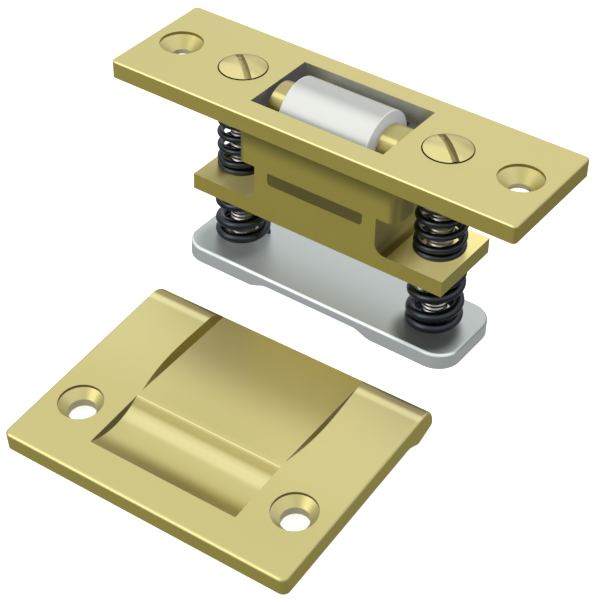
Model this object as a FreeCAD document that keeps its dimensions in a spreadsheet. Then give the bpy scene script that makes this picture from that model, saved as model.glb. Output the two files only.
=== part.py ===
import FreeCAD, Part
import Sketcher
import math
import os

# Adjustable roller catch for a door, with its strike plate.
# X runs along the face plate, Y away from the viewer, Z up.
# The origin is the centre of the face plate's underside.

# Driving dimensions, in millimetres and degrees
DIMENSIONS = {
    # face plate
    "plate_length": 85.7,
    "plate_width": 25.4,
    "plate_thickness": 3.6,
    "plate_corner_round": 0.9,
    "plate_edge_round": 0.5,
    "opening_length": 28.2,
    "opening_width": 16.6,
    "fixing_spacing": 72.7,
    "fixing_hole_radius": 2.1,
    "fixing_sink_radius": 4.17,
    "sink_step": 0.6,
    # adjusting screws
    "screw_spacing": 44.0,
    "screw_radius": 2.4,
    "screw_head_radius": 4.43,
    "screw_head_proud": 0.12,
    "screw_head_dome": 0.8,
    "screw_slot_width": 1.3,
    "screw_slot_depth": 0.9,
    "screw_slot_angle": -41.0,
    "screw_tip_inset": 0.2,
    "screw_tip_chamfer": 0.5,
    "screw_head_gap": 0.25,
    "screw_hole_gap": 0.3,
    "thread_gap": 0.05,
    # roller and its axle
    "roller_radius": 6.95,
    "roller_length": 18.9,
    "roller_edge_round": 0.15,
    "roller_stand_out": 2.1,
    "roller_end_gap": 0.5,
    "roller_side_gap": 0.3,
    "axle_radius": 1.5,
    "axle_chamfer": 0.25,
    "axle_fit_gap": 0.01,
    "axle_running_gap": 0.06,
    # roller carrier
    "carrier_width": 16.3,
    "wing_length": 55.2,
    "wing_thickness": 3.3,
    "neck_length": 26.6,
    "neck_height": 7.5,
    "neck_round": 2.2,
    "block_length": 35.0,
    "block_drop": 3.6,
    "block_corner_round": 2.2,
    "guide_height": 0.3,
    "spring_side_gap": 0.3,
    "ear_radius": 4.77,
    "window_length": 20.8,
    "window_height": 2.5,
    "window_drop": 0.3,
    "window_round": 0.7,
    # springs
    "upper_spring_length": 17.8,
    "upper_spring_radius": 4.9,
    "upper_wire_radius": 0.68,
    "upper_spring_turns": 7.25,
    "upper_spring_start": 154.0,
    "lower_spring_length": 13.1,
    "lower_spring_radius": 5.37,
    "lower_wire_radius": 0.98,
    "lower_spring_turns": 4.1,
    "lower_spring_start_left": 35.0,
    "lower_spring_start_right": 135.0,
    "closed_turns": 1.25,
    "closed_coil_gap": 0.12,
    # back plate
    "back_length": 60.8,
    "back_width": 17.8,
    "back_end_thickness": 3.3,
    "back_middle_thickness": 2.0,
    "back_corner_round": 4.75,
    "back_edge_round": 0.65,
    "back_relief_length": 21.0,
    "back_relief_run": 3.0,
    "back_relief_round": 4.0,
    # strike plate
    "strike_width": 58.4,
    "strike_depth": 44.6,
    "strike_thickness": 3.7,
    "strike_edge_round": 0.7,
    "strike_corner_round": 1.3,
    "strike_hole_spacing": 44.8,
    "strike_hole_setback": 12.6,
    "strike_hole_radius": 2.55,
    "strike_sink_radius": 4.07,
    "trough_length": 30.2,
    "trough_centre": 12.73,
    "trough_radius": 11.91,
    "trough_deep": 1.85,
    "trough_edge_round": 1.0,
    "ramp_length": 30.2,
    "ramp_start_setback": 19.95,
    "ramp_start_slope": 2.8,
    "ramp_near_setback": 24.4,
    "ramp_near_depth": 0.31,
    "ramp_near_flare": 0.87,
    "ramp_middle_setback": 29.5,
    "ramp_middle_depth": 0.65,
    "ramp_middle_flare": 1.3,
    "ramp_far_setback": 37.5,
    "ramp_far_depth": 1.19,
    "ramp_far_flare": 1.06,
    "ramp_end_setback": 46.6,
    "ramp_end_depth": 1.62,
    "ramp_end_flare": 0.85,
    "lip_run": 7.8,
    "lip_tip_setback": 4.2,
    "lip_tip_drop": 1.9,
    "lip_nose_drop": 0.9,
    "lip_top_round": 3.4,
    "lip_nose_round": 1.1,
    "lip_root_round": 3.0,
    "tongue_length": 28.8,
    "tongue_run": 10.6,
    "tongue_tip_setback": 5.0,
    "tongue_tip_drop": 4.1,
    "tongue_nose_drop": 2.2,
    "tongue_tip_round": 1.5,
    "strike_place_x": 8.92,
    "strike_place_y": -69.48,
    "strike_turn": 1.1,
}

os.makedirs("parts", exist_ok=True)
doc = FreeCAD.newDocument("door_catch")
sizes = doc.addObject("Spreadsheet::Sheet", "sizes")
for row, (alias, number) in enumerate(DIMENSIONS.items(), start=1):
    sizes.set(f"A{row}", alias)
    sizes.set(f"B{row}", str(number))
    sizes.setAlias(f"B{row}", alias)
doc.recompute()


def size(alias):
    """A driving dimension as a number."""
    return float(sizes.get(alias))


# Heights that several pieces share, as expressions of the driving dimensions
PLATE_TOP = "sizes.plate_thickness"
AXLE_HEIGHT = "(sizes.plate_thickness + sizes.roller_stand_out - sizes.roller_radius)"
WING_TOP = "(-sizes.upper_spring_length)"
WING_BOTTOM = "(-sizes.upper_spring_length - sizes.wing_thickness)"
BLOCK_TOP = "(-sizes.block_drop)"
BLOCK_BOTTOM = "(-sizes.upper_spring_length + sizes.neck_height)"
WINDOW_TOP = "(-sizes.upper_spring_length + sizes.neck_height - sizes.window_drop)"
WINDOW_BOTTOM = (
    "(-sizes.upper_spring_length + sizes.neck_height"
    " - sizes.window_drop - sizes.window_height)"
)
BACK_TOP = (
    "(-sizes.upper_spring_length - sizes.wing_thickness - sizes.lower_spring_length)"
)
BACK_BOTTOM = (
    "(-sizes.upper_spring_length - sizes.wing_thickness"
    " - sizes.lower_spring_length - sizes.back_end_thickness)"
)

# The same heights as numbers
plate_top = size("plate_thickness")
wing_top = -size("upper_spring_length")
wing_bottom = wing_top - size("wing_thickness")
block_bottom = wing_top + size("neck_height")
window_bottom = block_bottom - size("window_drop") - size("window_height")
back_top = wing_bottom - size("lower_spring_length")
back_bottom = back_top - size("back_end_thickness")

# How far a cutting outline runs past the faces that it cuts, one pad into another, and
# the ramp's sections over the face that they open into
PAST = "2"
INTO = "1"
OVER = "0.2"
# Lengths closer than this are taken as equal
CLOSE = 0.001
# Size of an outline's first guess, before its constraints place it
FIRST_GUESS = 10
# Points through which a spring's helix runs, for each turn
POINTS_PER_TURN = 12
# Lengths into which a spring's helix is cut for each turn, each swept into a face of its own
LENGTHS_PER_TURN = 2


# Sketches and features
def new_body(label):
    """An empty body whose label names its file."""
    body = doc.addObject("PartDesign::Body", label)
    body.Label = label
    return body


def new_sketch(body, plane, name):
    """A sketch on one of the body's own origin planes."""
    sketch = body.newObject("Sketcher::SketchObject", name)
    for feature in body.Origin.OriginFeatures:
        if feature.Role == plane:
            sketch.AttachmentSupport = [(feature, "")]
    sketch.MapMode = "FlatFace"
    return sketch


def pin(sketch, geometry, point, across, up, guess):
    """Holds a point at two expressions, measured from the sketch's origin."""
    for kind, expression, start in (
        ("DistanceX", across, guess.x),
        ("DistanceY", up, guess.y),
    ):
        link = Sketcher.Constraint(kind, -1, 1, geometry, point, start)
        number = sketch.addConstraint(link)
        sketch.setExpression(f"Constraints[{number}]", expression)


def add_outline(sketch, corners):
    """A closed outline of straight lines through corners given as expressions."""
    count = len(corners)
    first = sketch.GeometryCount
    ring = []
    for index in range(count):
        turn = 2 * math.pi * (index + 0.3) / count
        ring.append(
            FreeCAD.Vector(FIRST_GUESS * math.cos(turn), FIRST_GUESS * math.sin(turn), 0)
        )
    for index in range(count):
        sketch.addGeometry(Part.LineSegment(ring[index], ring[(index + 1) % count]))
    for index, (across, up) in enumerate(corners):
        before = first + (index - 1) % count
        sketch.addConstraint(
            Sketcher.Constraint("Coincident", before, 2, first + index, 1)
        )
        pin(sketch, first + index, 1, across, up, ring[index])


def add_rectangle(sketch, length, width):
    """A rectangle about the sketch's origin."""
    add_outline(
        sketch,
        [
            (f"-{length} / 2", f"-{width} / 2"),
            (f"{length} / 2", f"-{width} / 2"),
            (f"{length} / 2", f"{width} / 2"),
            (f"-{length} / 2", f"{width} / 2"),
        ],
    )


def add_circle(sketch, across, up, radius):
    """A circle with its centre and radius given as expressions."""
    guess = FreeCAD.Vector(1, 1, 0)
    circle = sketch.addGeometry(
        Part.Circle(guess, FreeCAD.Vector(0, 0, 1), 1)
    )
    pin(sketch, circle, 3, across, up, guess)
    number = sketch.addConstraint(Sketcher.Constraint("Radius", circle, 1))
    sketch.setExpression(f"Constraints[{number}]", radius)


def raise_pad(body, sketch, length, name, symmetric=False, down=False):
    """Pads a sketch by an expression, to one side or evenly to both."""
    pad = body.newObject("PartDesign::Pad", name)
    pad.Profile = sketch
    pad.setExpression("Length", length)
    if symmetric:
        pad.SideType = "Symmetric"
    pad.Reversed = down
    sketch.Visibility = False
    return pad


def cut_pocket(body, sketch, name, length=None):
    """Pockets a sketch right through to both sides, or evenly over a length."""
    pocket = body.newObject("PartDesign::Pocket", name)
    pocket.Profile = sketch
    pocket.SideType = "Symmetric"
    if length is None:
        pocket.Type = "ThroughAll"
    else:
        pocket.setExpression("Length", length)
    return pocket


def round_edges(body, radius, name, wanted):
    """Rounds the edges of the body's last feature whose middles pass the test."""
    doc.recompute()
    base = body.Tip
    names = []
    for number, edge in enumerate(base.Shape.Edges, start=1):
        if edge.Length > CLOSE and wanted(edge):
            names.append(f"Edge{number}")
    if not names:
        raise RuntimeError(f"{name} found no edge to round")
    fillet = body.newObject("PartDesign::Fillet", name)
    fillet.Base = (base, names)
    fillet.setExpression("Radius", radius)
    doc.recompute()
    return fillet


def middle(edge):
    """The point halfway along an edge."""
    return edge.valueAt((edge.FirstParameter + edge.LastParameter) / 2)


def near(value, target):
    return abs(value - target) < CLOSE


def runs_along(edge, direction):
    """True for a straight edge along X, Y or Z."""
    if edge.Curve.TypeId != "Part::GeomLine":
        return False
    return abs(abs(edge.Curve.Direction.dot(direction)) - 1) < CLOSE


X_AXIS = FreeCAD.Vector(1, 0, 0)
Y_AXIS = FreeCAD.Vector(0, 1, 0)
Z_AXIS = FreeCAD.Vector(0, 0, 1)


def cut_countersinks(
    body, name, distance, sink_radius, hole_radius, top, bottom, setback="0"
):
    """Two countersunk holes, mirrored about YZ, each with a short straight mouth."""
    sketch = new_sketch(body, "XZ_Plane", f"{name}_profile")
    sketch.setExpression("AttachmentOffset.Base.z", f"-{setback}")
    cone_top = f"({top} - sizes.sink_step)"
    cone_bottom = f"({top} - sizes.sink_step - {sink_radius} + {hole_radius})"
    add_outline(
        sketch,
        [
            (distance, f"{top} + {PAST}"),
            (f"{distance} + {sink_radius}", f"{top} + {PAST}"),
            (f"{distance} + {sink_radius}", cone_top),
            (f"{distance} + {hole_radius}", cone_bottom),
            (f"{distance} + {hole_radius}", f"{bottom} - {PAST}"),
            (distance, f"{bottom} - {PAST}"),
        ],
    )
    groove = body.newObject("PartDesign::Groove", name)
    groove.Profile = sketch
    groove.ReferenceAxis = (sketch, ["Edge6"])
    groove.Angle = 360
    doc.recompute()
    mirrored = body.newObject("PartDesign::Mirrored", f"{name}_pair")
    mirrored.Originals = [groove]
    for feature in body.Origin.OriginFeatures:
        if feature.Role == "YZ_Plane":
            mirrored.MirrorPlane = (feature, [""])
    body.Tip = mirrored
    doc.recompute()
    return mirrored


# Face plate, with an opening for the roller and two pairs of countersunk holes
def make_face_plate():
    body = new_body("face_plate")
    outline = new_sketch(body, "XY_Plane", "plate_outline")
    add_rectangle(outline, "sizes.plate_length", "sizes.plate_width")
    raise_pad(body, outline, PLATE_TOP, "plate_slab")
    opening = new_sketch(body, "XY_Plane", "plate_opening_outline")
    add_rectangle(opening, "sizes.opening_length", "sizes.opening_width")
    cut_pocket(body, opening, "plate_opening")
    half_length = size("plate_length") / 2
    half_width = size("plate_width") / 2

    def is_corner(edge):
        place = middle(edge)
        return runs_along(edge, Z_AXIS) and near(abs(place.x), half_length)

    round_edges(body, "sizes.plate_corner_round", "plate_corners", is_corner)

    def is_top_rim(edge):
        place = middle(edge)
        outside = (
            abs(place.x) > half_length - size("plate_corner_round")
            or abs(place.y) > half_width - size("plate_corner_round")
        )
        return near(place.z, plate_top) and outside

    round_edges(body, "sizes.plate_edge_round", "plate_rim", is_top_rim)
    cut_countersinks(
        body, "fixing_holes", "sizes.fixing_spacing / 2", "sizes.fixing_sink_radius",
        "sizes.fixing_hole_radius", PLATE_TOP, "0",
    )
    cut_countersinks(
        body, "screw_holes", "sizes.screw_spacing / 2",
        "(sizes.screw_head_radius + sizes.screw_head_gap)",
        "(sizes.screw_radius + sizes.screw_hole_gap)", PLATE_TOP, "0",
    )
    return body


# Roller carrier: a casting with wings on the screws, a neck, and ears for the axle
def make_roller_carrier():
    body = new_body("roller_carrier")
    front = new_sketch(body, "XZ_Plane", "carrier_front")
    right_side = [
        ("sizes.wing_length / 2", WING_BOTTOM),
        ("sizes.wing_length / 2", WING_TOP),
        ("sizes.neck_length / 2", WING_TOP),
        ("sizes.neck_length / 2", BLOCK_BOTTOM),
        ("sizes.block_length / 2", BLOCK_BOTTOM),
        ("sizes.block_length / 2", BLOCK_TOP),
    ]
    left_side = [(f"-{across}", up) for across, up in reversed(right_side)]
    add_outline(front, right_side + left_side)
    raise_pad(body, front, "sizes.carrier_width", "carrier_casting", symmetric=True)

    half_block = size("block_length") / 2
    half_neck = size("neck_length") / 2

    def is_block_corner(edge):
        return runs_along(edge, Z_AXIS) and near(abs(middle(edge).x), half_block)

    round_edges(body, "sizes.block_corner_round", "block_corners", is_block_corner)

    def is_neck_root(edge):
        place = middle(edge)
        at_root = near(abs(place.x), half_neck) and near(place.z, wing_top)
        return runs_along(edge, Y_AXIS) and at_root

    round_edges(body, "sizes.neck_round", "neck_roots", is_neck_root)

    spring_room = new_sketch(body, "XY_Plane", "spring_room_outlines")
    spring_room.setExpression(
        "AttachmentOffset.Base.z", f"({BLOCK_TOP} + {BLOCK_BOTTOM}) / 2"
    )
    for side in ("-", ""):
        add_circle(
            spring_room, f"{side}sizes.screw_spacing / 2", "0",
            "sizes.upper_spring_radius + sizes.spring_side_gap",
        )
    cut_pocket(body, spring_room, "spring_room", f"{BLOCK_TOP} - {BLOCK_BOTTOM} + {PAST}")

    guide = new_sketch(body, "XY_Plane", "guide_outline")
    guide.setExpression("AttachmentOffset.Base.z", f"{BLOCK_TOP} - {INTO}")
    add_rectangle(guide, "sizes.neck_length", "sizes.carrier_width")
    raise_pad(body, guide, f"sizes.guide_height - {BLOCK_TOP} + {INTO}", "guide")

    ear_stem = new_sketch(body, "YZ_Plane", "ear_stem_outline")
    add_outline(
        ear_stem,
        [
            ("-sizes.ear_radius", f"{BLOCK_TOP} - {PAST}"),
            ("sizes.ear_radius", f"{BLOCK_TOP} - {PAST}"),
            ("sizes.ear_radius", AXLE_HEIGHT),
            ("-sizes.ear_radius", AXLE_HEIGHT),
        ],
    )
    raise_pad(body, ear_stem, "sizes.neck_length", "ear_stems", symmetric=True)
    ear_head = new_sketch(body, "YZ_Plane", "ear_head_outline")
    add_circle(ear_head, "0", AXLE_HEIGHT, "sizes.ear_radius")
    raise_pad(body, ear_head, "sizes.neck_length", "ear_heads", symmetric=True)

    cavity = new_sketch(body, "XY_Plane", "cavity_outline")
    cavity_length = "(sizes.roller_length + 2 * sizes.roller_end_gap)"
    cavity_width = "(2 * (sizes.roller_radius + sizes.roller_side_gap))"
    add_rectangle(cavity, cavity_length, cavity_width)
    cut_pocket(body, cavity, "cavity", f"2 * -{WINDOW_BOTTOM}")

    window = new_sketch(body, "XZ_Plane", "window_outline")
    add_outline(
        window,
        [
            ("-sizes.window_length / 2", WINDOW_BOTTOM),
            ("sizes.window_length / 2", WINDOW_BOTTOM),
            ("sizes.window_length / 2", WINDOW_TOP),
            ("-sizes.window_length / 2", WINDOW_TOP),
        ],
    )
    cut_pocket(body, window, "window")

    half_window = size("window_length") / 2

    def is_window_corner(edge):
        place = middle(edge)
        at_corner = near(abs(place.x), half_window) and near(place.z, window_bottom)
        return runs_along(edge, Y_AXIS) and at_corner

    round_edges(body, "sizes.window_round", "window_corners", is_window_corner)

    bore = new_sketch(body, "YZ_Plane", "axle_bore_outline")
    add_circle(bore, "0", AXLE_HEIGHT, "sizes.axle_radius + sizes.axle_fit_gap")
    cut_pocket(body, bore, "axle_bore")

    holes = new_sketch(body, "XY_Plane", "wing_hole_outlines")
    for side in ("-", ""):
        add_circle(
            holes, f"{side}sizes.screw_spacing / 2", "0",
            "sizes.screw_radius + sizes.screw_hole_gap",
        )
    cut_pocket(body, holes, "wing_holes")
    return body


# Roller, turned about its own axis, which is X
def make_roller():
    body = new_body("roller")
    section = new_sketch(body, "XZ_Plane", "roller_section")
    bore = "sizes.axle_radius + sizes.axle_running_gap"
    add_outline(
        section,
        [
            ("-sizes.roller_length / 2", bore),
            ("sizes.roller_length / 2", bore),
            ("sizes.roller_length / 2", "sizes.roller_radius"),
            ("-sizes.roller_length / 2", "sizes.roller_radius"),
        ],
    )
    turned = body.newObject("PartDesign::Revolution", "roller_turned")
    turned.Profile = section
    turned.ReferenceAxis = (section, ["H_Axis"])
    turned.Angle = 360

    def is_outer_rim(edge):
        return edge.Curve.TypeId == "Part::GeomCircle" and near(
            edge.Curve.Radius, size("roller_radius")
        )

    round_edges(body, "sizes.roller_edge_round", "roller_rims", is_outer_rim)
    body.setExpression("Placement.Base.z", AXLE_HEIGHT)
    return body


# Axle: a plain pin, flush with the outer faces of the ears
def make_roller_axle():
    body = new_body("roller_axle")
    section = new_sketch(body, "XZ_Plane", "axle_section")
    add_outline(
        section,
        [
            ("-sizes.neck_length / 2", "0"),
            ("sizes.neck_length / 2", "0"),
            ("sizes.neck_length / 2", "sizes.axle_radius - sizes.axle_chamfer"),
            ("sizes.neck_length / 2 - sizes.axle_chamfer", "sizes.axle_radius"),
            ("-sizes.neck_length / 2 + sizes.axle_chamfer", "sizes.axle_radius"),
            ("-sizes.neck_length / 2", "sizes.axle_radius - sizes.axle_chamfer"),
        ],
    )
    turned = body.newObject("PartDesign::Revolution", "axle_turned")
    turned.Profile = section
    turned.ReferenceAxis = (section, ["H_Axis"])
    turned.Angle = 360
    body.setExpression("Placement.Base.z", AXLE_HEIGHT)
    return body


# Back plate: thick ends threaded for the screws, thinner in the middle
def make_back_plate():
    body = new_body("back_plate")
    outline = new_sketch(body, "XY_Plane", "back_outline")
    add_rectangle(outline, "sizes.back_length", "sizes.back_width")
    outline.setExpression("AttachmentOffset.Base.z", BACK_TOP)
    raise_pad(body, outline, "sizes.back_end_thickness", "back_slab", down=True)

    def is_corner(edge):
        return runs_along(edge, Z_AXIS)

    round_edges(body, "sizes.back_corner_round", "back_corners", is_corner)

    relief = new_sketch(body, "XZ_Plane", "relief_outline")
    relief_top = f"({BACK_TOP} - sizes.back_middle_thickness)"
    flat = "sizes.back_relief_length / 2"
    foot = "(sizes.back_relief_length / 2 + sizes.back_relief_run)"
    add_outline(
        relief,
        [
            (f"-{flat}", relief_top),
            (f"-{foot}", BACK_BOTTOM),
            (f"-{foot}", f"{BACK_BOTTOM} - {PAST}"),
            (foot, f"{BACK_BOTTOM} - {PAST}"),
            (foot, BACK_BOTTOM),
            (flat, relief_top),
        ],
    )
    cut_pocket(body, relief, "relief")

    half_flat = size("back_relief_length") / 2
    half_foot = half_flat + size("back_relief_run")

    def is_relief_bend(edge):
        across = abs(middle(edge).x)
        return runs_along(edge, Y_AXIS) and (
            near(across, half_flat) or near(across, half_foot)
        )

    round_edges(body, "sizes.back_relief_round", "relief_bends", is_relief_bend)

    def is_top_rim(edge):
        return near(middle(edge).z, back_top)

    round_edges(body, "sizes.back_edge_round", "back_rim", is_top_rim)

    holes = new_sketch(body, "XY_Plane", "thread_outlines")
    for side in ("-", ""):
        add_circle(
            holes, f"{side}sizes.screw_spacing / 2", "0",
            "sizes.screw_radius + sizes.thread_gap",
        )
    cut_pocket(body, holes, "threaded_holes")
    return body


# Adjusting screw: oval countersunk head with a saw cut, on a long shank
def make_adjusting_screw(label, side):
    body = new_body(label)
    section = new_sketch(body, "XZ_Plane", "screw_section")
    rim_height = f"({PLATE_TOP} + sizes.screw_head_proud)"
    cone_top = f"({PLATE_TOP} - sizes.sink_step)"
    cone_bottom = (
        f"({PLATE_TOP} - sizes.sink_step - sizes.screw_head_radius + sizes.screw_radius)"
    )
    tip = f"({BACK_BOTTOM} + sizes.screw_tip_inset)"
    chamfer = "sizes.screw_tip_chamfer"
    corners = [
        ("0", f"{rim_height} + sizes.screw_head_dome"),
        ("0", tip),
        (f"sizes.screw_radius - {chamfer}", tip),
        ("sizes.screw_radius", f"{tip} + {chamfer}"),
        ("sizes.screw_radius", cone_bottom),
        ("sizes.screw_head_radius", cone_top),
        ("sizes.screw_head_radius", rim_height),
    ]
    rim = plate_top + size("screw_head_proud")
    crown = rim + size("screw_head_dome")
    tip_chamfer = size("screw_tip_chamfer")
    guesses = [
        FreeCAD.Vector(0, crown, 0),
        FreeCAD.Vector(0, back_bottom, 0),
        FreeCAD.Vector(size("screw_radius") - tip_chamfer, back_bottom, 0),
        FreeCAD.Vector(size("screw_radius"), back_bottom + tip_chamfer, 0),
        FreeCAD.Vector(size("screw_radius"), 0, 0),
        FreeCAD.Vector(size("screw_head_radius"), plate_top - size("sink_step"), 0),
        FreeCAD.Vector(size("screw_head_radius"), rim, 0),
    ]
    for index in range(len(corners) - 1):
        section.addGeometry(Part.LineSegment(guesses[index], guesses[index + 1]))
    half_chord = size("screw_head_radius")
    dome_radius = (half_chord**2 + size("screw_head_dome") ** 2) / (
        2 * size("screw_head_dome")
    )
    dome_circle = Part.Circle(
        FreeCAD.Vector(0, crown - dome_radius, 0), FreeCAD.Vector(0, 0, 1), dome_radius
    )
    dome = section.addGeometry(
        Part.ArcOfCircle(
            dome_circle, math.acos(half_chord / dome_radius), math.pi / 2
        )
    )
    for index, (across, up) in enumerate(corners[:-1]):
        pin(section, index, 1, across, up, guesses[index])
        if index:
            section.addConstraint(
                Sketcher.Constraint("Coincident", index - 1, 2, index, 1)
            )
    last_line = len(corners) - 2
    pin(section, last_line, 2, corners[-1][0], corners[-1][1], guesses[-1])
    section.addConstraint(Sketcher.Constraint("Coincident", last_line, 2, dome, 1))
    section.addConstraint(Sketcher.Constraint("Coincident", 0, 1, dome, 2))
    section.addConstraint(Sketcher.Constraint("PointOnObject", dome, 3, -2))
    turned = body.newObject("PartDesign::Revolution", "screw_turned")
    turned.Profile = section
    turned.ReferenceAxis = (section, ["V_Axis"])
    turned.Angle = 360
    doc.recompute()

    slot = new_sketch(body, "YZ_Plane", "slot_outline")
    slot_floor = f"({rim_height} - sizes.screw_slot_depth)"
    slot_top = f"({rim_height} + sizes.screw_head_dome + {PAST})"
    half_slot = "sizes.screw_slot_width / 2"
    add_outline(
        slot,
        [
            (f"-{half_slot}", slot_floor),
            (half_slot, slot_floor),
            (half_slot, slot_top),
            (f"-{half_slot}", slot_top),
        ],
    )
    cut_pocket(body, slot, "slot")
    body.Placement.Rotation = FreeCAD.Rotation(Z_AXIS, size("screw_slot_angle"))
    body.setExpression("Placement.Base.x", f"{side} * sizes.screw_spacing / 2")
    return body


# Coil spring with closed, ground ends, swept along a helix of changing pitch
def make_spring(label, side, bottom, length, outer_radius, wire_radius, turns, start):
    coil_radius = outer_radius - wire_radius
    closed = size("closed_turns")
    closed_pitch = 2 * wire_radius + size("closed_coil_gap")
    end_rise = wire_radius / 2
    open_rise = length - 2 * end_rise - 2 * closed * closed_pitch
    open_pitch = open_rise / (turns - 2 * closed)
    steps = round(turns * POINTS_PER_TURN)
    points = []
    for step in range(steps + 1):
        turn = turns * step / steps
        height = end_rise + closed_pitch * min(turn, closed)
        height += open_pitch * min(max(turn - closed, 0), turns - 2 * closed)
        height += closed_pitch * max(turn - (turns - closed), 0)
        angle = 2 * math.pi * turn
        points.append(
            FreeCAD.Vector(
                coil_radius * math.cos(angle), coil_radius * math.sin(angle), height
            )
        )
    curve = Part.BSplineCurve()
    curve.interpolate(points)
    lengths = round(turns * LENGTHS_PER_TURN)
    first = curve.FirstParameter
    span = curve.LastParameter - first
    cuts = [first + span * cut / lengths for cut in range(lengths + 1)]
    path = Part.Wire([curve.toShape(here, there) for here, there in zip(cuts, cuts[1:])])
    section = Part.Wire([Part.makeCircle(wire_radius, points[0], curve.tangent(0)[0])])
    coil = path.makePipeShell([section], True, True)
    between_seats = Part.makeCylinder(outer_radius + wire_radius, length)
    ground = coil.common(between_seats)
    spring = doc.addObject("Part::Feature", label)
    spring.Label = label
    spring.Shape = Part.Solid(ground.Solids[0])
    place = FreeCAD.Vector(side * size("screw_spacing") / 2, 0, bottom)
    spring.Placement = FreeCAD.Placement(place, FreeCAD.Rotation(Z_AXIS, start))
    return spring


# Strike plate: trough for the roller, ramp falling away behind it, and a lip at the end
def strike_tilt():
    """Angle at which the plate lies, on its front lower edge and the tongue's tip."""
    thickness = size("strike_thickness")
    root = FreeCAD.Vector(
        size("strike_depth") - size("tongue_run"), -thickness, 0
    )
    tip = FreeCAD.Vector(
        size("strike_depth") - size("tongue_tip_setback"),
        -thickness - size("tongue_tip_drop"), 0,
    )
    nose = FreeCAD.Vector(
        size("strike_depth"), -thickness - size("tongue_nose_drop"), 0
    )
    to_root = (root - tip).normalize()
    to_nose = (nose - tip).normalize()
    bisector = (to_root + to_nose).normalize()
    half_angle = to_root.getAngle(to_nose) / 2
    tip_round = size("tongue_tip_round")
    centre = tip + bisector * (tip_round / math.sin(half_angle))
    front_edge = FreeCAD.Vector(0, -thickness, 0)
    reach = centre - front_edge
    down = math.atan2(-reach.y, reach.x) + math.asin(tip_round / reach.Length)
    return math.degrees(down)


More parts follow.
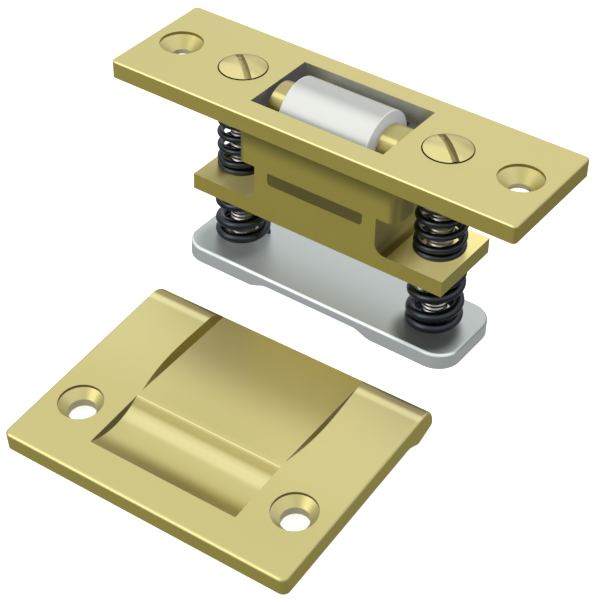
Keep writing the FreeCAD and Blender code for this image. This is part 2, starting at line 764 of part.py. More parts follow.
def make_strike_plate():
    body = new_body("strike_plate")
    far = "sizes.strike_depth"
    under = "-sizes.strike_thickness"
    side_view = new_sketch(body, "YZ_Plane", "strike_side")
    add_outline(
        side_view,
        [
            ("0", "0"),
            ("0", under),
            (f"{far} - sizes.lip_run", under),
            (f"{far} - sizes.lip_tip_setback", f"{under} - sizes.lip_tip_drop"),
            (far, f"{under} - sizes.lip_nose_drop"),
            (far, "0"),
        ],
    )
    raise_pad(body, side_view, "sizes.strike_width", "strike_slab", symmetric=True)
    tongue = new_sketch(body, "YZ_Plane", "tongue_side")
    add_outline(
        tongue,
        [
            (f"{far} - sizes.tongue_run", under),
            (f"{far} - sizes.tongue_tip_setback", f"{under} - sizes.tongue_tip_drop"),
            (far, f"{under} - sizes.tongue_nose_drop"),
            (far, f"{under} + {INTO}"),
            (f"{far} - sizes.tongue_run", f"{under} + {INTO}"),
        ],
    )
    raise_pad(body, tongue, "sizes.tongue_length", "tongue", symmetric=True)

    thickness = size("strike_thickness")
    depth = size("strike_depth")
    half_width = size("strike_width") / 2

    def at(edge, back, height):
        place = middle(edge)
        return (
            runs_along(edge, X_AXIS) and near(place.y, back) and near(place.z, height)
        )

    def is_far_top(edge):
        return at(edge, depth, 0)

    round_edges(body, "sizes.lip_top_round", "lip_top", is_far_top)

    def is_tongue_tip(edge):
        return at(
            edge, depth - size("tongue_tip_setback"),
            -thickness - size("tongue_tip_drop"),
        )

    round_edges(body, "sizes.tongue_tip_round", "tongue_tip", is_tongue_tip)

    def is_nose(edge):
        return at(edge, depth, -thickness - size("lip_nose_drop")) or at(
            edge, depth, -thickness - size("tongue_nose_drop")
        )

    round_edges(body, "sizes.lip_nose_round", "lip_nose", is_nose)

    def is_lip_root(edge):
        return at(edge, depth - size("lip_run"), -thickness)

    round_edges(body, "sizes.lip_root_round", "lip_root", is_lip_root)

    def is_front_corner(edge):
        place = middle(edge)
        at_corner = near(abs(place.x), half_width) and near(place.y, 0)
        return runs_along(edge, Z_AXIS) and at_corner

    round_edges(body, "sizes.strike_corner_round", "strike_corners", is_front_corner)

    def is_top_rim(edge):
        place = middle(edge)
        at_front = place.y < size("strike_corner_round")
        at_side = near(abs(place.x), half_width)
        return near(place.z, 0) and (at_front or at_side)

    round_edges(body, "sizes.strike_edge_round", "strike_rim", is_top_rim)

    trough = new_sketch(body, "YZ_Plane", "trough_outline")
    add_circle(
        trough, "sizes.trough_centre", "sizes.trough_radius - sizes.trough_deep",
        "sizes.trough_radius",
    )
    cut_pocket(body, trough, "trough", "sizes.trough_length")

    trough_end = size("trough_centre") + math.sqrt(
        size("trough_radius") ** 2 - (size("trough_radius") - size("trough_deep")) ** 2
    )

    def is_ridge(edge):
        return at(edge, trough_end, 0)

    round_edges(body, "sizes.trough_edge_round", "ridge", is_ridge)

    half_ramp = "sizes.ramp_length / 2"
    stations = [("ramp_start", "0", "sizes.ramp_start_slope")]
    for place in ("near", "middle", "far", "end"):
        depth = f"sizes.ramp_{place}_depth"
        stations.append((f"ramp_{place}", depth, f"sizes.ramp_{place}_flare / {depth}"))
    sections = []
    for name, depth, slope in stations:
        section = new_sketch(body, "XZ_Plane", f"{name}_section")
        section.setExpression("AttachmentOffset.Base.z", f"-sizes.{name}_setback")
        mouth = f"({half_ramp} + ({depth} + {OVER}) * {slope})"
        add_outline(
            section,
            [
                (f"-{mouth}", OVER),
                (f"-{half_ramp}", f"-{depth}"),
                (half_ramp, f"-{depth}"),
                (mouth, OVER),
            ],
        )
        sections.append(section)
    ramp_cut = body.newObject("PartDesign::SubtractiveLoft", "ramp")
    ramp_cut.Profile = sections[0]
    ramp_cut.Sections = sections[1:]
    doc.recompute()

    cut_countersinks(
        body, "strike_holes", "sizes.strike_hole_spacing / 2",
        "sizes.strike_sink_radius", "sizes.strike_hole_radius", "0", under,
        "sizes.strike_hole_setback",
    )

    tilt = strike_tilt()
    height = back_bottom + thickness * math.cos(math.radians(tilt))
    place = FreeCAD.Vector(size("strike_place_x"), size("strike_place_y"), height)
    turn = FreeCAD.Rotation(Z_AXIS, size("strike_turn"))
    lean = FreeCAD.Rotation(X_AXIS, tilt)
    body.Placement = FreeCAD.Placement(place, turn.multiply(lean))
    return body


pieces = [
    make_face_plate(),
    make_strike_plate(),
    make_roller_carrier(),
    make_roller(),
    make_roller_axle(),
    make_back_plate(),
]
for word, side in (("left", -1), ("right", 1)):
    pieces.append(make_adjusting_screw(f"adjusting_screw_{word}", side))
    pieces.append(
        make_spring(
            f"upper_spring_{word}", side, wing_top, size("upper_spring_length"),
            size("upper_spring_radius"), size("upper_wire_radius"),
            size("upper_spring_turns"), size("upper_spring_start"),
        )
    )
    pieces.append(
        make_spring(
            f"lower_spring_{word}", side, back_top, size("lower_spring_length"),
            size("lower_spring_radius"), size("lower_wire_radius"),
            size("lower_spring_turns"), size(f"lower_spring_start_{word}"),
        )
    )
doc.recompute()

# Every object has to be sound before anything is written
for item in doc.Objects:
    if "Invalid" in item.State or "Error" in item.State:
        raise RuntimeError(f"{item.Name} is {item.State}")
for piece in pieces:
    shape = piece.Shape
    if shape.isNull() or not shape.isValid() or len(shape.Solids) != 1:
        raise RuntimeError(f"{piece.Label} isn't one valid solid")
    print(piece.Label, round(shape.Volume, 2), "mm3")

for piece in pieces:
    piece.Shape.exportStep(f"parts/{piece.Label}.step")
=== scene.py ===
import bpy
import math
from functools import cached_property
from mathutils import Matrix, Vector


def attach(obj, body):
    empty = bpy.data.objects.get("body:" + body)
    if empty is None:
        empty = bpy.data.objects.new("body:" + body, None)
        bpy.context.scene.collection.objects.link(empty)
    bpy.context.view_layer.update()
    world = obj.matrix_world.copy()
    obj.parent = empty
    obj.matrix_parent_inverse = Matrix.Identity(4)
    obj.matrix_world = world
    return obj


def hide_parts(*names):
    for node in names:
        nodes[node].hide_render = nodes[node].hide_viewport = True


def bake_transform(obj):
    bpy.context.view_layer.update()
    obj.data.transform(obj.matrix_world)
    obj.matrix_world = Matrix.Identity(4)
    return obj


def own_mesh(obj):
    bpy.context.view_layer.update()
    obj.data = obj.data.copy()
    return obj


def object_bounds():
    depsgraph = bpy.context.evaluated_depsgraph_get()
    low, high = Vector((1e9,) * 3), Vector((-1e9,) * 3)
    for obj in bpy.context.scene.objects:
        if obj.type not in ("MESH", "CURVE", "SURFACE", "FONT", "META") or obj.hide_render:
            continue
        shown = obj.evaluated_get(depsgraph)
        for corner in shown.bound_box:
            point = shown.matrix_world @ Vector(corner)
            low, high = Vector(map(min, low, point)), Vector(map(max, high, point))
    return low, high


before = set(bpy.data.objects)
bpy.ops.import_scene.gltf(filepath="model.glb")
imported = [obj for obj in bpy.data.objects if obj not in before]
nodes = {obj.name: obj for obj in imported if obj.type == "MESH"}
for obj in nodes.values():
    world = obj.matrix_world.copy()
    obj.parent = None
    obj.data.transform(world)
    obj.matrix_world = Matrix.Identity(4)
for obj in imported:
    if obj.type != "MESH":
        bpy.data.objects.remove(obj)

cad_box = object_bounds()
scene = bpy.context.scene

# Camera, fitted to the photograph: angles in degrees, lengths in metres
CAMERA_AZIMUTH = 34.73
CAMERA_ELEVATION = 38.85
CAMERA_ROLL = 1.45
CAMERA_TARGET = Vector((-0.00808, 0.0, -0.04449))
CAMERA_DISTANCE = 0.33758
CAMERA_LENS = 103.1
SENSOR_WIDTH = 36.0
NEAREST_SEEN = 0.01
FARTHEST_SEEN = 50.0

azimuth = math.radians(CAMERA_AZIMUTH)
elevation = math.radians(CAMERA_ELEVATION)
roll = math.radians(CAMERA_ROLL)
back = Vector((
    math.sin(azimuth) * math.cos(elevation),
    -math.cos(azimuth) * math.cos(elevation),
    math.sin(elevation),
))
level_right = Vector((math.cos(azimuth), math.sin(azimuth), 0.0))
level_up = back.cross(level_right)
right = level_right * math.cos(roll) + level_up * math.sin(roll)
up = level_up * math.cos(roll) - level_right * math.sin(roll)

camera_data = bpy.data.cameras.new("camera")
camera_data.lens = CAMERA_LENS
camera_data.sensor_width = SENSOR_WIDTH
camera_data.sensor_fit = "HORIZONTAL"
camera_data.clip_start = NEAREST_SEEN
camera_data.clip_end = FARTHEST_SEEN
camera = bpy.data.objects.new("camera", camera_data)
scene.collection.objects.link(camera)
camera_place = CAMERA_TARGET + back * CAMERA_DISTANCE
camera.matrix_world = Matrix((
    (right.x, up.x, back.x, camera_place.x),
    (right.y, up.y, back.y, camera_place.y),
    (right.z, up.z, back.z, camera_place.z),
    (0.0, 0.0, 0.0, 1.0),
))
scene.camera = camera


# Node trees
class NodeTree:
    """A node tree, with short calls for the nodes that the scene uses."""

    def __init__(self, tree):
        self.tree = tree

    def feed(self, value, socket):
        """Give the socket a number, a colour, or another node's output."""
        if isinstance(value, tuple):
            socket.default_value = (*value, 1.0)
        elif isinstance(value, (int, float)):
            socket.default_value = value
        else:
            self.tree.links.new(value, socket)

    def math(self, operation, first, second=0.0):
        node = self.tree.nodes.new("ShaderNodeMath")
        node.operation = operation
        self.feed(first, node.inputs[0])
        self.feed(second, node.inputs[1])
        return node.outputs[0]

    def size(self, value):
        return self.math("ABSOLUTE", value)

    def rest(self, mask):
        """1 where the mask is 0, and 0 where it is 1."""
        return self.math("SUBTRACT", 1.0, mask)

    def both(self, joined, *masks):
        """1 only where every mask is 1."""
        for mask in masks:
            joined = self.math("MULTIPLY", joined, mask)
        return joined

    def ramp(self, value, low, high):
        """0 where the value is at low, 1 at high, smooth between them."""
        node = self.tree.nodes.new("ShaderNodeMapRange")
        node.interpolation_type = "SMOOTHSTEP"
        node.inputs["From Min"].default_value = low
        node.inputs["From Max"].default_value = high
        self.feed(value, node.inputs["Value"])
        return node.outputs["Result"]

    def below(self, value, high, soft):
        """1 up to high, fading to 0 over soft."""
        return self.ramp(value, high + soft, high)

    def within(self, value, low, high, soft):
        """1 between low and high, 0 outside, fading over soft."""
        return self.both(self.ramp(value, low - soft, low), self.below(value, high, soft))

    def length(self, step_x, step_y):
        """Length of the line that goes step_x along X and step_y along Y."""
        squares = self.math(
            "ADD", self.math("MULTIPLY", step_x, step_x), self.math("MULTIPLY", step_y, step_y)
        )
        return self.math("SQRT", squares)

    def mix(self, share, first, second):
        """The first colour where share is 0, the second where it is 1."""
        node = self.tree.nodes.new("ShaderNodeMix")
        node.data_type = "RGBA"
        self.feed(share, node.inputs["Factor"])
        colors = [socket for socket in node.inputs if socket.type == "RGBA"]
        self.feed(first, colors[0])
        self.feed(second, colors[1])
        return [socket for socket in node.outputs if socket.type == "RGBA"][0]

    def split(self, vector):
        node = self.tree.nodes.new("ShaderNodeSeparateXYZ")
        self.feed(vector, node.inputs[0])
        return node.outputs["X"], node.outputs["Y"], node.outputs["Z"]


class Finish(NodeTree):
    """A material with one shader, whose colour is painted in layers."""

    def __init__(self, name, metallic):
        self.material = bpy.data.materials.new(name)
        self.material.use_nodes = True
        super().__init__(self.material.node_tree)
        self.tree.nodes.clear()
        output = self.tree.nodes.new("ShaderNodeOutputMaterial")
        self.shader = self.tree.nodes.new("ShaderNodeBsdfPrincipled")
        self.feed(self.shader.outputs[0], output.inputs["Surface"])
        self.set("Metallic", metallic)
        self.color = None
        self.glow = None

    def set(self, name, value):
        self.feed(value, self.shader.inputs[name])

    def coordinates(self):
        return self.tree.nodes.new("ShaderNodeTexCoord").outputs["Object"]

    def read_place(self, vector):
        self.x, self.y, self.z = self.split(vector)

    def read_slope(self):
        """Read how far a face looks along X, Y and Z, each from -1 to 1."""
        geometry = self.tree.nodes.new("ShaderNodeNewGeometry")
        self.along_x, self.along_y, self.along_z = self.split(geometry.outputs["Normal"])

    @cached_property
    def x_out(self):
        """Distance from the middle along X."""
        return self.size(self.x)

    @cached_property
    def y_out(self):
        """Distance from the middle along Y."""
        return self.size(self.y)

    @cached_property
    def sideways(self):
        """How far a face looks to either side."""
        return self.size(self.along_x)

    def centre_distance(self, spacing, centre_y=0.0):
        """Distance from the nearer of the two centres at x = +-spacing."""
        return self.length(
            self.math("SUBTRACT", self.x_out, spacing), self.math("SUBTRACT", self.y, centre_y)
        )

    def noise(self, scale, detail, stretch=(1.0, 1.0, 1.0)):
        mapping = self.tree.nodes.new("ShaderNodeMapping")
        mapping.inputs["Scale"].default_value = stretch
        self.feed(self.coordinates(), mapping.inputs["Vector"])
        noise = self.tree.nodes.new("ShaderNodeTexNoise")
        noise.inputs["Scale"].default_value = scale
        noise.inputs["Detail"].default_value = detail
        self.feed(mapping.outputs[0], noise.inputs["Vector"])
        return noise.outputs["Fac"]

    def bump(self, height, distance):
        node = self.tree.nodes.new("ShaderNodeBump")
        node.inputs["Distance"].default_value = distance
        self.feed(height, node.inputs["Height"])
        self.set("Normal", node.outputs[0])

    def paint(self, *layers):
        """Lay each layer's tone over the colour where its mask is 1."""
        for mask, tone in layers:
            self.color = self.mix(mask, self.color, tone)

    def light(self, *shares):
        """Add to the faint glow that stands for light from under and between the plates."""
        for mask, strength in shares:
            share = self.math("MULTIPLY", mask, strength)
            self.glow = share if self.glow is None else self.math("ADD", self.glow, share)

    def complete(self, glow_color=None):
        """Give the shader the painted colour, and the glow if there is one."""
        self.set("Base Color", self.color)
        if glow_color is not None:
            self.set("Emission Color", glow_color)
            self.set("Emission Strength", self.glow)


# Satin brass. A mask picks places in metres, with limits that may lie a little past the
# faces it is for, and slopes by their cosines along the axes.
# Painted light: the paler tone where brass looks up, and the colour of the glow that paints light
# on it
LIT_TOP_TONE = (0.66, 0.60, 0.26)
PAINTED_GLOW_TONE = (1.0, 0.95, 0.68)
SKIN = 0.00002
SKIN_SOFT = 0.00003
FIXING_HOLE_RADIUS = 0.00255


def brass_finish(name, front, side):
    """Brass in lit and shaded copies: a paler painted tone where a face looks up, deeper ones to
    the front and the sides.
    """
    brass = Finish(name, metallic=1.0)
    brass.read_slope()
    brass.color = brass.mix(brass.ramp(brass.sideways, 0.3, 0.9), front, side)
    brass.paint((brass.ramp(brass.along_z, 0.05, 0.45), LIT_TOP_TONE))
    return brass


def add_satin(brass, roughness):
    """A fine satin grain and slow changes of gloss."""
    wobble = brass.math("MULTIPLY", brass.noise(90.0, 3.0), 0.06)
    brass.set("Roughness", brass.math("ADD", wobble, roughness))
    brass.bump(brass.noise(9000.0, 2.0, (0.35, 1.0, 1.0)), 0.000003)


def light_front_rim(brass, edge):
    """Light on the rounded top edge that looks to the front, at y = edge."""
    rim = brass.both(
        brass.within(brass.along_z, 0.3, 0.9, 0.08),
        brass.ramp(brass.along_y, -0.2, -0.4),
        brass.ramp(brass.y, edge + 0.0003, edge),
    )
    brass.light((rim, 0.25))


def shade_sinks(brass, below_top, distance, sink_radius):
    """Countersinks in painted shade and light: a dark step at the rim, a duller cone with a
    painted highlight on its left side, a hole painted paler and given a glow.
    """
    steep = brass.ramp(brass.along_z, 0.4, 0.1)
    cone = brass.both(
        below_top,
        brass.within(brass.along_z, 0.5, 0.9, 0.05),
        brass.below(distance, sink_radius, 0.0001),
    )
    step = brass.both(
        below_top, steep,
        brass.within(distance, sink_radius - 0.0003, sink_radius + 0.0002, 0.00005),
    )
    hole = brass.both(below_top, steep, brass.below(distance, FIXING_HOLE_RADIUS, 0.0002))
    lit_side = brass.both(cone, brass.ramp(brass.along_x, 0.3, 0.6))
    brass.paint((cone, (0.58, 0.52, 0.21)), (step, (0.40, 0.34, 0.11)), (hole, (0.90, 0.84, 0.50)))
    brass.light((lit_side, 0.10), (hole, 0.08))


# Face plate: grey walls inside the opening, darker where they look to the sides as painted shade,
# and painted shade in the gaps round the screw heads
PLATE_TOP = 0.0036
PLATE_FRONT = -0.0127
OPENING_HALF_LENGTH = 0.01417
OPENING_HALF_WIDTH = 0.00836
SCREW_CENTRE = 0.022
SCREW_GAP_REACH = 0.0049
FIXING_CENTRE = 0.0363
FIXING_SINK_RADIUS = 0.00417

plate = brass_finish("plate_brass", (0.85, 0.73, 0.185), (0.80, 0.67, 0.165))
plate.read_place(plate.coordinates())
under_top = plate.ramp(plate.z, PLATE_TOP - SKIN, PLATE_TOP - SKIN - SKIN_SOFT)
opening = plate.both(
    plate.ramp(plate.along_z, 0.5, 0.2),
    plate.below(plate.x_out, OPENING_HALF_LENGTH, 0.00003),
    plate.below(plate.y_out, OPENING_HALF_WIDTH, 0.00003),
)
opening_tone = plate.mix(
    plate.ramp(plate.sideways, 0.3, 0.8), (0.74, 0.74, 0.67), (0.16, 0.16, 0.16)
)
screw_gap = plate.both(
    under_top, plate.below(plate.centre_distance(SCREW_CENTRE), SCREW_GAP_REACH, 0.00005)
)
shade_sinks(plate, under_top, plate.centre_distance(FIXING_CENTRE), FIXING_SINK_RADIUS)
# Painted shade in the gaps round the screw heads and on the opening's walls that look to the sides
plate.paint((screw_gap, (0.36, 0.31, 0.11)), (opening, opening_tone))
add_satin(plate, 0.40)
light_front_rim(plate, PLATE_FRONT)
# Painted light: a glow on the gaps' walls that look to the front and on the opening's walls that
# look along +X
plate.light(
    (plate.both(screw_gap, plate.ramp(plate.along_y, -0.1, -0.4)), 0.12),
    (plate.both(opening, plate.ramp(plate.along_x, 0.3, 0.8)), 0.045),
)
plate.complete(plate.mix(opening, PAINTED_GLOW_TONE, (1.0, 0.93, 1.0)))

# Carrier, from its ears in the opening down to its wings, in painted shade and painted light
EAR_INSIDE = 0.0100
EAR_OUTSIDE = 0.0134
EAR_REACH = 0.0066
BLOCK_REACH = 0.00805
GUIDE_TOP = 0.0003
NECK_INSIDE = 0.0110
NECK_OUTSIDE = 0.0178
FILLET_INSIDE = 0.0125
FILLET_OUTSIDE = 0.0157
FILLET_TOP = -0.0150
WINDOW_HALF_LENGTH = 0.0105
WINDOW_REACH = 0.0079
WINDOW_TOP = -0.0105
WINDOW_BOTTOM = -0.0132
WING_TOP = -0.0178

carrier = brass_finish("carrier_brass", (0.80, 0.69, 0.165), (0.76, 0.67, 0.20))
carrier.read_place(carrier.coordinates())
beside_roller = carrier.both(
    carrier.within(carrier.y_out, 0.0070, BLOCK_REACH, 0.00003),
    carrier.within(carrier.z, -0.009, 0.01, 0.0001),
    carrier.below(carrier.x_out, EAR_OUTSIDE, 0.00003),
)
guide_top = carrier.both(
    carrier.ramp(carrier.along_z, 0.9, 0.97),
    carrier.within(carrier.z, GUIDE_TOP - 0.0001, GUIDE_TOP + 0.0001, 0.00005),
)
neck = carrier.both(
    carrier.ramp(carrier.sideways, 0.05, 0.80),
    carrier.within(carrier.x_out, NECK_INSIDE, NECK_OUTSIDE, 0.0002),
    carrier.within(carrier.z, -0.0175, 0.0, 0.0001),
)
right_neck = carrier.both(neck, carrier.ramp(carrier.along_x, 0.75, 1.0))
under_plate_shadow = carrier.both(
    carrier.ramp(carrier.z, -0.0078, -0.0030),
    carrier.ramp(carrier.along_y, -0.5, -0.9),
    carrier.ramp(carrier.y, -0.0078, -0.0080),
)
ears = carrier.both(
    carrier.within(carrier.x_out, EAR_INSIDE, EAR_OUTSIDE, 0.00003),
    carrier.below(carrier.y_out, EAR_REACH, 0.0001),
    carrier.ramp(carrier.z, -0.002, 0.0),
)
low_ears = carrier.both(ears, carrier.ramp(carrier.along_y, -0.64, -0.80))
ear_gleam = carrier.both(ears, carrier.within(carrier.along_y, -0.60, -0.54, 0.10))
ear_end = carrier.both(
    ears, carrier.ramp(carrier.along_x, 0.6, 0.9), carrier.ramp(carrier.z, 0.0003, 0.0006)
)
right_fillet = carrier.both(
    carrier.within(carrier.x, FILLET_INSIDE, FILLET_OUTSIDE, 0.0004),
    carrier.within(carrier.z, WING_TOP - 0.0001, FILLET_TOP, 0.0001),
    carrier.within(carrier.along_z, 0.2, 0.97, 0.15),
)
left_wing = carrier.both(
    carrier.within(carrier.x, -0.0215, -FILLET_INSIDE, 0.0025),
    carrier.within(carrier.z, WING_TOP - 0.0001, FILLET_TOP, 0.0002),
    carrier.ramp(carrier.along_z, 0.1, 0.5),
)
in_window = carrier.both(
    carrier.below(carrier.x_out, WINDOW_HALF_LENGTH, 0.0001),
    carrier.below(carrier.y_out, WINDOW_REACH, 0.0001),
    carrier.within(carrier.z, WINDOW_BOTTOM, WINDOW_TOP, 0.0001),
)
wing_ends = carrier.both(
    carrier.ramp(carrier.along_z, 0.5, 0.95),
    carrier.within(carrier.z, WING_TOP - 0.0004, WING_TOP + 0.0006, 0.0002),
    carrier.ramp(carrier.x_out, 0.0155, 0.0235),
)
# Painted shade on the necks' sides, the right fillet, inside the window, under the face plate and
# low on the ears' front; the ears in a duller tone; painted shade in dark grey beside the roller
# and on the guide's top
carrier.paint(
    (neck, (0.31, 0.265, 0.08)),
    (right_fillet, (0.19, 0.165, 0.045)),
    (in_window, (0.28, 0.24, 0.07)),
    (under_plate_shadow, (0.31, 0.27, 0.07)),
    (ears, (0.50, 0.45, 0.19)),
    (low_ears, (0.28, 0.24, 0.075)),
    (beside_roller, (0.26, 0.26, 0.25)),
    (guide_top, (0.14, 0.14, 0.135)),
)
add_satin(carrier, 0.42)
# Painted light: glows on the wings' tops, most on the right, on the necks, the left wing and
# inside the window, and a painted gleam and glow on the ears
carrier.light(
    (wing_ends, 0.03),
    (carrier.both(wing_ends, carrier.ramp(carrier.x, -0.001, 0.001)), 0.37),
    (neck, 0.03),
    (right_neck, 0.035),
    (left_wing, 0.16),
    (in_window, 0.065),
    (ear_gleam, 0.42),
    (ear_end, 0.44),
)
carrier.complete((1.0, 0.87, 0.35))

# Strike plate, in axes of its own: y from its front edge to the lip, z up from its top
STRIKE_ORIGIN = (0.00892, -0.06948, -0.0338178)
STRIKE_TILT = math.radians(5.6148)
STRIKE_TURN = math.radians(1.1)
STRIKE_HOLE_X = 0.0224
STRIKE_HOLE_Y = 0.0126
STRIKE_SINK_RADIUS = 0.00407
TROUGH_REACH = 0.01505
TROUGH_FRONT = 0.005
TROUGH_BACK = 0.0198
RAMP_HALF_LENGTH = 0.0151
LIP_START = 0.0407

strike = brass_finish("strike_brass", (0.90, 0.78, 0.19), (0.96, 0.83, 0.22))
to_strike = strike.tree.nodes.new("ShaderNodeMapping")
to_strike.vector_type = "TEXTURE"
to_strike.inputs["Location"].default_value = STRIKE_ORIGIN
to_strike.inputs["Rotation"].default_value = (STRIKE_TILT, 0.0, STRIKE_TURN)
strike.feed(strike.coordinates(), to_strike.inputs["Vector"])
strike.read_place(to_strike.outputs[0])
ramp_floor = strike.both(
    strike.ramp(strike.z, -0.00025, -0.0011),
    strike.ramp(strike.y, 0.0203, 0.0212),
    strike.below(strike.x_out, RAMP_HALF_LENGTH + 0.0001, 0.0001),
)
walls = strike.both(
    strike.within(strike.x_out, 0.01506, 0.0175, 0.00002),
    strike.within(strike.z, -0.0028, -0.00005, 0.00002),
    strike.ramp(strike.sideways, 0.15, 0.35),
)
trough = strike.both(
    strike.below(strike.x_out, TROUGH_REACH, 0.00003),
    strike.within(strike.y, TROUGH_FRONT, TROUGH_BACK, 0.0002),
    strike.ramp(strike.z, -0.00002, -0.00006),
)
trough_front = strike.both(trough, strike.ramp(strike.y, 0.0112, 0.0076))
trough_light = strike.both(trough, strike.within(strike.y, 0.0152, 0.0160, 0.0014))
trough_dark = strike.both(trough, strike.within(strike.y, 0.0177, 0.0184, 0.0008))
ridge = strike.both(trough, strike.within(strike.y, 0.0191, 0.0195, 0.0002))
beside_ramp = strike.ramp(strike.x_out, RAMP_HALF_LENGTH, RAMP_HALF_LENGTH + 0.0001)
lip_light = strike.both(
    beside_ramp,
    strike.within(strike.y, LIP_START - 0.0004, LIP_START, 0.0009),
    strike.ramp(strike.along_z, 0.5, 0.9),
)
lip_dark = strike.both(
    beside_ramp,
    strike.ramp(strike.y, LIP_START, LIP_START + 0.0012),
    strike.ramp(strike.sideways, 0.6, 0.2),
)
toward_lip = strike.ramp(strike.y, 0.022, 0.042)
# Painted shade on the ramp's side walls and on the trough's end walls
ramp_wall_tone = strike.mix(
    strike.ramp(strike.x, -0.001, 0.001),
    strike.mix(toward_lip, (0.128, 0.098, 0.016), (0.285, 0.225, 0.045)),
    strike.mix(toward_lip, (0.16, 0.125, 0.02), (0.25, 0.20, 0.035)),
)
wall_tone = strike.mix(strike.ramp(strike.y, 0.0200, 0.0192), ramp_wall_tone, (0.44, 0.35, 0.11))
level = strike.both(strike.ramp(strike.along_z, 0.9, 0.98), strike.rest(ramp_floor))
far_level = strike.both(level, strike.ramp(strike.y, 0.012, 0.040))
right_level = strike.both(
    level, strike.ramp(strike.x, 0.0, 0.02), strike.ramp(strike.y, 0.005, 0.02)
)
shade_sinks(
    strike, strike.ramp(strike.z, -SKIN, -SKIN - SKIN_SOFT),
    strike.centre_distance(STRIKE_HOLE_X, STRIKE_HOLE_Y), STRIKE_SINK_RADIUS,
)
# Painted shade: darker on the ramp's floor as it sinks, at the trough's front, in a band under the
# ridge and on the lip's rounded edge
strike.paint(
    (ramp_floor, (0.54, 0.48, 0.235)),
    (trough_front, (0.34, 0.295, 0.095)),
    (trough_dark, (0.47, 0.41, 0.15)),
    (lip_dark, (0.31, 0.265, 0.055)),
    (walls, wall_tone),
)
add_satin(strike, 0.42)
light_front_rim(strike, 0.0)
# Painted light: a highlight on the ridge, bands in the trough and before the lip, and glows on the
# far and right parts of the level top
strike.light(
    (ridge, 0.42),
    (trough_light, 0.16),
    (lip_light, 0.20),
    (far_level, 0.11),
    (right_level, 0.04),
)
strike.complete(PAINTED_GLOW_TONE)

# Adjusting screws: brass head with a dark slot in painted shade, plated shank with a thread
THREAD_PITCH = 0.0008
THREAD_DEPTH = 0.0007
HEAD_BOTTOM = 0.0012
SLOT_REACH = 0.0042
SLOT_FLOOR = 0.00282
SCREW_TONE = (0.50, 0.42, 0.12)


def screw_finish(name, centre):
    """The finish of the screw whose axis is at x = centre."""
    screw = brass_finish(name, SCREW_TONE, SCREW_TONE)
    screw.read_place(screw.coordinates())
    from_axis = screw.math("SUBTRACT", screw.x, centre)
    radius = screw.length(from_axis, screw.y)
    head = screw.ramp(screw.z, HEAD_BOTTOM, HEAD_BOTTOM + 0.0005)
    shank = screw.below(screw.z, HEAD_BOTTOM, 0.0001)
    steep = screw.ramp(screw.along_z, 0.4, 0.1)
    gentle = screw.ramp(screw.along_z, 0.8, 0.9)
    head_front = screw.both(screw.within(screw.along_y, -0.4, -0.16, 0.12), gentle)
    head_back = screw.both(screw.ramp(screw.along_y, 0.02, 0.20), gentle)
    head_side = screw.both(steep, screw.ramp(radius, SLOT_REACH, SLOT_REACH + 0.0002), head)
    slot_wall = screw.both(steep, screw.ramp(radius, SLOT_REACH, SLOT_REACH - 0.0002), head)
    slot_floor = screw.both(
        screw.ramp(screw.along_z, 0.9, 0.97),
        screw.below(screw.z, SLOT_FLOOR + 0.0001, 0.0001),
        head,
    )
    slot_end = screw.both(
        slot_floor, screw.ramp(radius, 0.0029, 0.0031), screw.ramp(screw.y, 0.0, -0.001)
    )
    # Painted shade on the back of the head and in the slot, near black on the head's side wall and
    # at the slot's near end
    screw.paint(
        (head_back, (0.50, 0.44, 0.17)),
        (slot_wall, (0.14, 0.12, 0.025)),
        (slot_floor, (0.32, 0.28, 0.11)),
        (screw.math("MAXIMUM", head_side, slot_end), (0.02, 0.017, 0.007)),
        (shank, (0.46, 0.445, 0.42)),
    )
    # Painted light: glows on the slot's floor and walls, and a painted highlight on the front of
    # the head
    screw.light(
        (screw.math("SUBTRACT", slot_floor, slot_end), 0.20),
        (slot_wall, 0.06),
        (head_front, 0.16),
    )
    turn = screw.math("DIVIDE", screw.math("ARCTAN2", screw.y, from_axis), 2.0 * math.pi)
    rise = screw.math("DIVIDE", screw.z, THREAD_PITCH)
    thread = screw.math("PINGPONG", screw.math("SUBTRACT", rise, turn), 0.5)
    off_axis = screw.ramp(radius, 0.0004, 0.0005)
    screw.bump(screw.both(thread, shank, off_axis), THREAD_DEPTH)
    screw.set("Roughness", 0.3)
    screw.complete((1.0, 0.88, 0.38))
    return screw


screw_left = screw_finish("screw_brass_left", -SCREW_CENTRE)
screw_right = screw_finish("screw_brass_right", SCREW_CENTRE)

# Roller: smooth white plastic, faintly clouded, with a painted highlight where it looks up and
# forward
ROLLER_EDGE = 0.00926
ROLLER_END = 0.0095

roller = Finish("roller_plastic", metallic=0.0)
roller.read_place(roller.coordinates())
roller.read_slope()
up_and_forward = roller.math(
    "SUBTRACT",
    roller.math("MULTIPLY", roller.along_z, 0.72),
    roller.math("MULTIPLY", roller.along_y, 0.69),
)
end_line = roller.both(
    roller.within(roller.x_out, ROLLER_EDGE, ROLLER_END, 0.00005),
    roller.ramp(roller.sideways, 0.97, 0.85),
)
roller.color = roller.mix(roller.noise(160.0, 2.0), (0.46, 0.47, 0.45), (0.49, 0.50, 0.47))
# Painted light and shade: the highlight up and forward, a bluish painted shade low on the front, a
# paler painted tone on the ends and a bright line at their edge
roller.paint(
    (roller.ramp(up_and_forward, 0.78, 1.0), (0.80, 0.81, 0.77)),
    (roller.ramp(roller.along_y, -0.78, -0.96), (0.50, 0.53, 0.54)),
    (roller.ramp(roller.sideways, 0.5, 0.9), (0.56, 0.555, 0.57)),
    (end_line, (0.80, 0.81, 0.79)),
)
# Painted light: a glow on the ends
roller.light((roller.ramp(roller.sideways, 0.90, 0.99), 0.16))
roller.set("Roughness", 0.3)
roller.bump(roller.noise(2500.0, 2.0), 0.000001)
roller.complete((0.90, 0.92, 1.0))


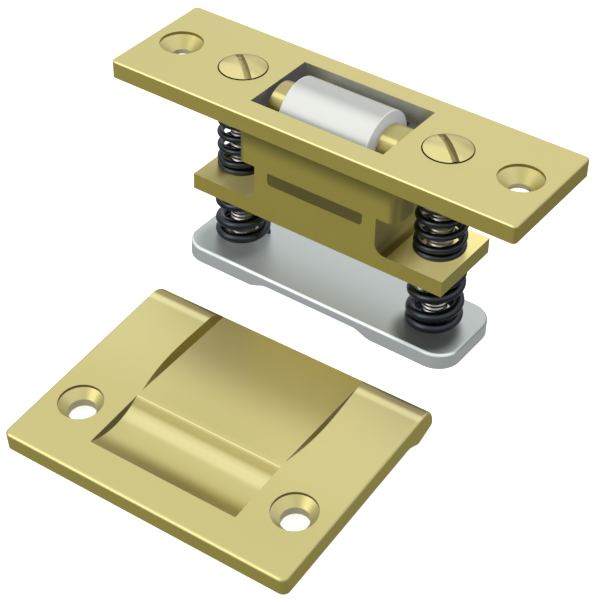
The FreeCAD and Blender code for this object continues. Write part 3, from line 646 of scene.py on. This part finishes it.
# Plain metals
def add_grain(metal, roughness, scale, depth):
    """Grain in the gloss and the surface; returns its mask."""
    grain = metal.noise(scale, 3.0)
    metal.set("Roughness", metal.math("ADD", metal.math("MULTIPLY", grain, 0.08), roughness))
    metal.bump(grain, depth)
    return grain


def plain_metal(name, tone, roughness, scale, depth):
    """A metal whose grain is a little darker than its tone."""
    metal = Finish(name, metallic=1.0)
    grain = add_grain(metal, roughness, scale, depth)
    metal.color = metal.mix(grain, tuple(part * 0.9 for part in tone), tone)
    metal.complete()
    return metal


axle_steel = plain_metal("axle_steel", (0.6, 0.6, 0.6), 0.3, 2000.0, 0.000005)
spring_steel = plain_metal("spring_steel", (0.05, 0.058, 0.068), 0.24, 1800.0, 0.00001)

# Back plate: a painted shadow round the springs' feet, half as much round the left one, and
# painted light on its top, its upright sides and its front rim
FOOT_X = 0.0226
FOOT_Y = -0.0036
SHADE_START = 0.0076
SHADE_FULL = 0.0048

back_metal = Finish("back_metal", metallic=1.0)
back_metal.read_place(back_metal.coordinates())
back_metal.read_slope()
add_grain(back_metal, 0.36, 3000.0, 0.000002)
round_feet = back_metal.ramp(back_metal.centre_distance(FOOT_X, FOOT_Y), SHADE_START, SHADE_FULL)
left_share = back_metal.math("MULTIPLY", back_metal.ramp(back_metal.x, 0.0, -0.001), 0.5)
foot_shadow = back_metal.both(round_feet, back_metal.rest(left_share))
upright = back_metal.ramp(back_metal.along_z, 0.5, 0.1)
lit_top = back_metal.both(
    back_metal.ramp(back_metal.along_z, 0.3, 0.95),
    back_metal.rest(back_metal.math("MULTIPLY", foot_shadow, 0.80)),
)
back_rim = back_metal.both(
    back_metal.within(back_metal.along_z, 0.35, 0.92, 0.06),
    back_metal.ramp(back_metal.along_y, -0.1, -0.35),
)
# Painted shadow round the feet; the upright sides painted paler as painted light
back_metal.color = back_metal.mix(foot_shadow, (0.34, 0.37, 0.365), (0.15, 0.17, 0.165))
back_metal.paint((upright, (0.80, 0.85, 0.85)))
back_metal.light((lit_top, 0.20), (back_rim, 0.42), (upright, 0.12))
back_metal.complete((0.93, 1.0, 0.98))

finishes = {
    "face_plate": plate,
    "strike_plate": strike,
    "roller_carrier": carrier,
    "roller": roller,
    "roller_axle": axle_steel,
    "back_plate": back_metal,
    "adjusting_screw_left": screw_left,
    "adjusting_screw_right": screw_right,
    "upper_spring_left": spring_steel,
    "upper_spring_right": spring_steel,
    "lower_spring_left": spring_steel,
    "lower_spring_right": spring_steel,
}
for name, finish in finishes.items():
    node = nodes[name]
    node.data.materials.clear()
    node.data.materials.append(finish.material)

# The photograph shows the strike plate and the catch without each other's reflections
nodes["strike_plate"].visible_glossy = False


def coil_piece(node_name):
    """A copy of the node's coil that stands for it."""
    coil = bpy.data.objects.new(f"coil_{node_name}", nodes[node_name].data.copy())
    scene.collection.objects.link(coil)
    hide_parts(node_name)
    return coil


for side, place in (("left", -SCREW_CENTRE), ("right", SCREW_CENTRE)):
    upper = coil_piece(f"upper_spring_{side}")
    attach(upper, "carrier")
    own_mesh(upper)
    lower = coil_piece(f"lower_spring_{side}")
    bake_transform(lower)

# Floor: white, and left out of the pieces' light and reflections
FLOOR_SIZE = 20.0
FLOOR_GAP = 0.00005

bpy.ops.mesh.primitive_plane_add(
    size=FLOOR_SIZE, location=(0.0, 0.0, cad_box[0].z - FLOOR_GAP)
)
floor = bpy.context.object
floor.name = "floor"
floor_white = Finish("floor_white", metallic=0.0)
floor_white.set("Base Color", (0.9, 0.9, 0.9))
floor_white.set("Roughness", 1.0)
floor_white.set("Specular IOR Level", 0.0)
floor_white.set("Emission Color", (1.0, 1.0, 1.0))
floor_white.set("Emission Strength", 0.75)
floor.data.materials.append(floor_white.material)
floor.visible_diffuse = False
floor.visible_glossy = False

# Studio light: a pale sky over a darker ground, which is dimmer to the right, and two soft
# boxes, each with its direction, the cosines where it starts and is full, and its strength
GROUND_LIGHT = 0.22
SKY_LIGHT = 0.78
GROUND_HEIGHT = -0.45
SKY_HEIGHT = 0.62
RIGHT_DIMMER = 0.2
SOFTBOXES = (
    ((-0.444, -0.808, 0.387), 0.90, 0.975, 1.8),
    ((-0.444, 0.884, 0.148), 0.94, 0.985, 0.4),
)

world = bpy.data.worlds.new("studio")
scene.world = world
world.use_nodes = True
studio = NodeTree(world.node_tree)
background = studio.tree.nodes["Background"]
outward = studio.tree.nodes.new("ShaderNodeTexCoord").outputs["Generated"]
to_right, _, to_sky = studio.split(outward)
sky = studio.ramp(to_sky, GROUND_HEIGHT, SKY_HEIGHT)
low_right = studio.both(studio.ramp(to_right, 0.0, 0.6), studio.rest(sky))
light = studio.both(
    studio.math("ADD", studio.math("MULTIPLY", sky, SKY_LIGHT), GROUND_LIGHT),
    studio.rest(studio.math("MULTIPLY", low_right, RIGHT_DIMMER)),
)
for direction, start, full, strength in SOFTBOXES:
    toward = studio.tree.nodes.new("ShaderNodeVectorMath")
    toward.operation = "DOT_PRODUCT"
    toward.inputs[1].default_value = direction
    studio.feed(outward, toward.inputs[0])
    softbox = studio.ramp(toward.outputs["Value"], start, full)
    light = studio.math("ADD", light, studio.math("MULTIPLY", softbox, strength))
studio.feed((1.0, 1.0, 1.0), background.inputs["Color"])
studio.feed(light, background.inputs["Strength"])

scene.view_settings.view_transform = "Standard"
